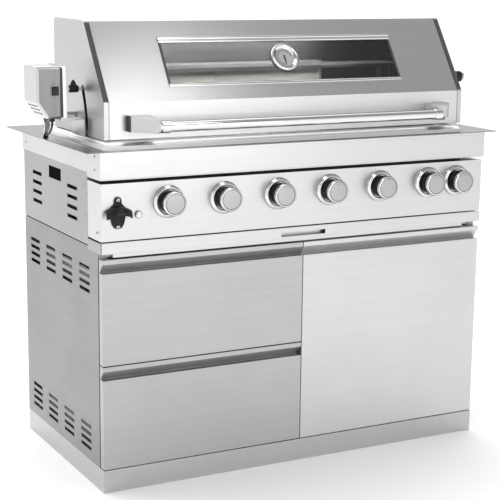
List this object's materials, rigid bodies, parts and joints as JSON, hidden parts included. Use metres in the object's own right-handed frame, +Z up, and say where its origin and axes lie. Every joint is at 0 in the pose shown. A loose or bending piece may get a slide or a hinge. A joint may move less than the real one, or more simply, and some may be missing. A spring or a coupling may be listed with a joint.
{
  "type": "gas barbecue grill",
  "caption": "Free-standing stainless gas barbecue grill: hinged lid with window and thermometer, rotisserie, valve knobs, drawers and cupboard.",
  "frame": {"origin": "middle of the cabinet's footprint, on the ground", "axes": "+Z up, +X to the right as seen from the front, -Y out of the front, towards the cook"},
  "size_m": [1.3815, 0.675, 1.2405],
  "materials": {
    "brushed_panels": "brushed stainless sheet",
    "plain_steel": "mill finish steel",
    "polished_metal": "polished",
    "firebox_steel": "heat-darkened steel",
    "cast_iron": "matte enamelled casting",
    "window_glass": "smoked tempered glass",
    "black_plastic": "matte",
    "burner_ceramic": "matte fired ceramic",
    "lead_rubber": "matte sheath"
  },
  "bodies": {
    "root": {"base_plinth": "brushed_panels", "cabinet_side_left": "brushed_panels", "cabinet_side_right": "brushed_panels", "cabinet_front_rail": "brushed_panels", "head_side_left": "brushed_panels", "head_side_right": "brushed_panels", "head_fascia": "brushed_panels", "top_plate": "brushed_panels", "hood_rim": "brushed_panels", "control_panel": "brushed_panels", "motor_housing": "brushed_panels", "motor_bracket": "brushed_panels", "cabinet_floor": "plain_steel", "cabinet_back": "plain_steel", "cabinet_divider": "plain_steel", "head_back": "plain_steel", "burner_set": "plain_steel", "heat_tents": "plain_steel", "gas_manifold": "plain_steel", "rear_burner": "plain_steel", "warming_rack": "plain_steel", "firebox": "firebox_steel", "cooking_grate_1": "cast_iron", "cooking_grate_2": "cast_iron", "cooking_grate_3": "cast_iron", "bottle_opener": "cast_iron", "rear_burner_tiles": "burner_ceramic", "motor_lead": "lead_rubber"},
    "lid": {"lid_shell": "brushed_panels", "lid_end_left": "brushed_panels", "lid_end_right": "brushed_panels", "window_glass": "window_glass", "thermometer_case": "polished_metal", "lid_handle": "polished_metal", "handle_arm_left": "brushed_panels", "handle_arm_right": "brushed_panels"},
    "needle": {"thermometer_needle": "black_plastic"},
    "drawer_upper": {"drawer_front_upper": "brushed_panels", "drawer_bin_upper": "plain_steel"},
    "drawer_lower": {"drawer_front_lower": "brushed_panels", "drawer_bin_lower": "plain_steel"},
    "cupboard_door": {"door": "brushed_panels"},
    "drip_drawer": {"grease_tray": "brushed_panels"},
    "button": {"light_button": "polished_metal"},
    "rocker": {"motor_switch": "black_plastic"},
    "spit": {"spit_rod": "plain_steel"},
    "stem_1": {"valve_stem_1": "plain_steel"},
    "dial_1": {"knob_1": "polished_metal"},
    "stem_2": {"valve_stem_2": "plain_steel"},
    "dial_2": {"knob_2": "polished_metal"},
    "stem_3": {"valve_stem_3": "plain_steel"},
    "dial_3": {"knob_3": "polished_metal"},
    "stem_4": {"valve_stem_4": "plain_steel"},
    "dial_4": {"knob_4": "polished_metal"},
    "stem_5": {"valve_stem_5": "plain_steel"},
    "dial_5": {"knob_5": "polished_metal"},
    "stem_6": {"valve_stem_6": "plain_steel"},
    "dial_6": {"knob_6": "polished_metal"},
    "stem_7": {"valve_stem_7": "plain_steel"},
    "dial_7": {"knob_7": "polished_metal"}
  },
  "joints": [
    {"name": "lid_hinge", "type": "hinge", "parent": "root", "child": "lid", "pos_m": [0, 0.135, 0.945], "axis": [-1, 0, 0], "range_deg": [0, 85]},
    {"name": "needle_turn", "type": "hinge", "parent": "lid", "child": "needle", "pos_m": [0, -0.16893, 1.13215], "axis": [0, 0.8283, -0.5603], "range_deg": [0, 270]},
    {"name": "upper_drawer_slide", "type": "slide", "parent": "root", "child": "drawer_upper", "axis": [0, -1, 0], "range_m": [0, 0.42]},
    {"name": "lower_drawer_slide", "type": "slide", "parent": "root", "child": "drawer_lower", "axis": [0, -1, 0], "range_m": [0, 0.42]},
    {"name": "door_hinge", "type": "hinge", "parent": "root", "child": "cupboard_door", "pos_m": [0.591, -0.29, 0.0645], "axis": [0, 0, 1], "range_deg": [0, 110]},
    {"name": "grease_tray_slide", "type": "slide", "parent": "root", "child": "drip_drawer", "axis": [0, -1, 0], "range_m": [0, 0.4]},
    {"name": "light_button_push", "type": "slide", "parent": "root", "child": "button", "axis": [0, 1, 0], "range_m": [0, 0.0024], "stiffness_N_per_m": 600},
    {"name": "motor_switch_rock", "type": "hinge", "parent": "root", "child": "rocker", "pos_m": [-0.6613, -0.136, 1.0605], "axis": [1, 0, 0], "range_deg": [-8, 8]},
    {"name": "spit_turn", "type": "hinge", "parent": "root", "child": "spit", "pos_m": [0, -0.088, 1.06], "axis": [1, 0, 0], "continuous": true},
    {"name": "knob_1_push", "type": "slide", "parent": "root", "child": "stem_1", "axis": [0, 1, 0], "range_m": [0, 0.004], "stiffness_N_per_m": 900},
    {"name": "knob_1_turn", "type": "hinge", "parent": "stem_1", "child": "dial_1", "pos_m": [-0.41125, -0.3, 0.778], "axis": [0, -1, 0], "range_deg": [0, 225]},
    {"name": "knob_2_push", "type": "slide", "parent": "root", "child": "stem_2", "axis": [0, 1, 0], "range_m": [0, 0.004], "stiffness_N_per_m": 900},
    {"name": "knob_2_turn", "type": "hinge", "parent": "stem_2", "child": "dial_2", "pos_m": [-0.24675, -0.3, 0.778], "axis": [0, -1, 0], "range_deg": [0, 225]},
    {"name": "knob_3_push", "type": "slide", "parent": "root", "child": "stem_3", "axis": [0, 1, 0], "range_m": [0, 0.004], "stiffness_N_per_m": 900},
    {"name": "knob_3_turn", "type": "hinge", "parent": "stem_3", "child": "dial_3", "pos_m": [-0.08225, -0.3, 0.778], "axis": [0, -1, 0], "range_deg": [0, 225]},
    {"name": "knob_4_push", "type": "slide", "parent": "root", "child": "stem_4", "axis": [0, 1, 0], "range_m": [0, 0.004], "stiffness_N_per_m": 900},
    {"name": "knob_4_turn", "type": "hinge", "parent": "stem_4", "child": "dial_4", "pos_m": [0.08225, -0.3, 0.778], "axis": [0, -1, 0], "range_deg": [0, 225]},
    {"name": "knob_5_push", "type": "slide", "parent": "root", "child": "stem_5", "axis": [0, 1, 0], "range_m": [0, 0.004], "stiffness_N_per_m": 900},
    {"name": "knob_5_turn", "type": "hinge", "parent": "stem_5", "child": "dial_5", "pos_m": [0.24675, -0.3, 0.778], "axis": [0, -1, 0], "range_deg": [0, 225]},
    {"name": "knob_6_push", "type": "slide", "parent": "root", "child": "stem_6", "axis": [0, 1, 0], "range_m": [0, 0.004], "stiffness_N_per_m": 900},
    {"name": "knob_6_turn", "type": "hinge", "parent": "stem_6", "child": "dial_6", "pos_m": [0.41125, -0.3, 0.778], "axis": [0, -1, 0], "range_deg": [0, 225]},
    {"name": "knob_7_push", "type": "slide", "parent": "root", "child": "stem_7", "axis": [0, 1, 0], "range_m": [0, 0.004], "stiffness_N_per_m": 900},
    {"name": "knob_7_turn", "type": "hinge", "parent": "stem_7", "child": "dial_7", "pos_m": [0.51, -0.3, 0.778], "axis": [0, -1, 0], "range_deg": [0, 225]}
  ]
}
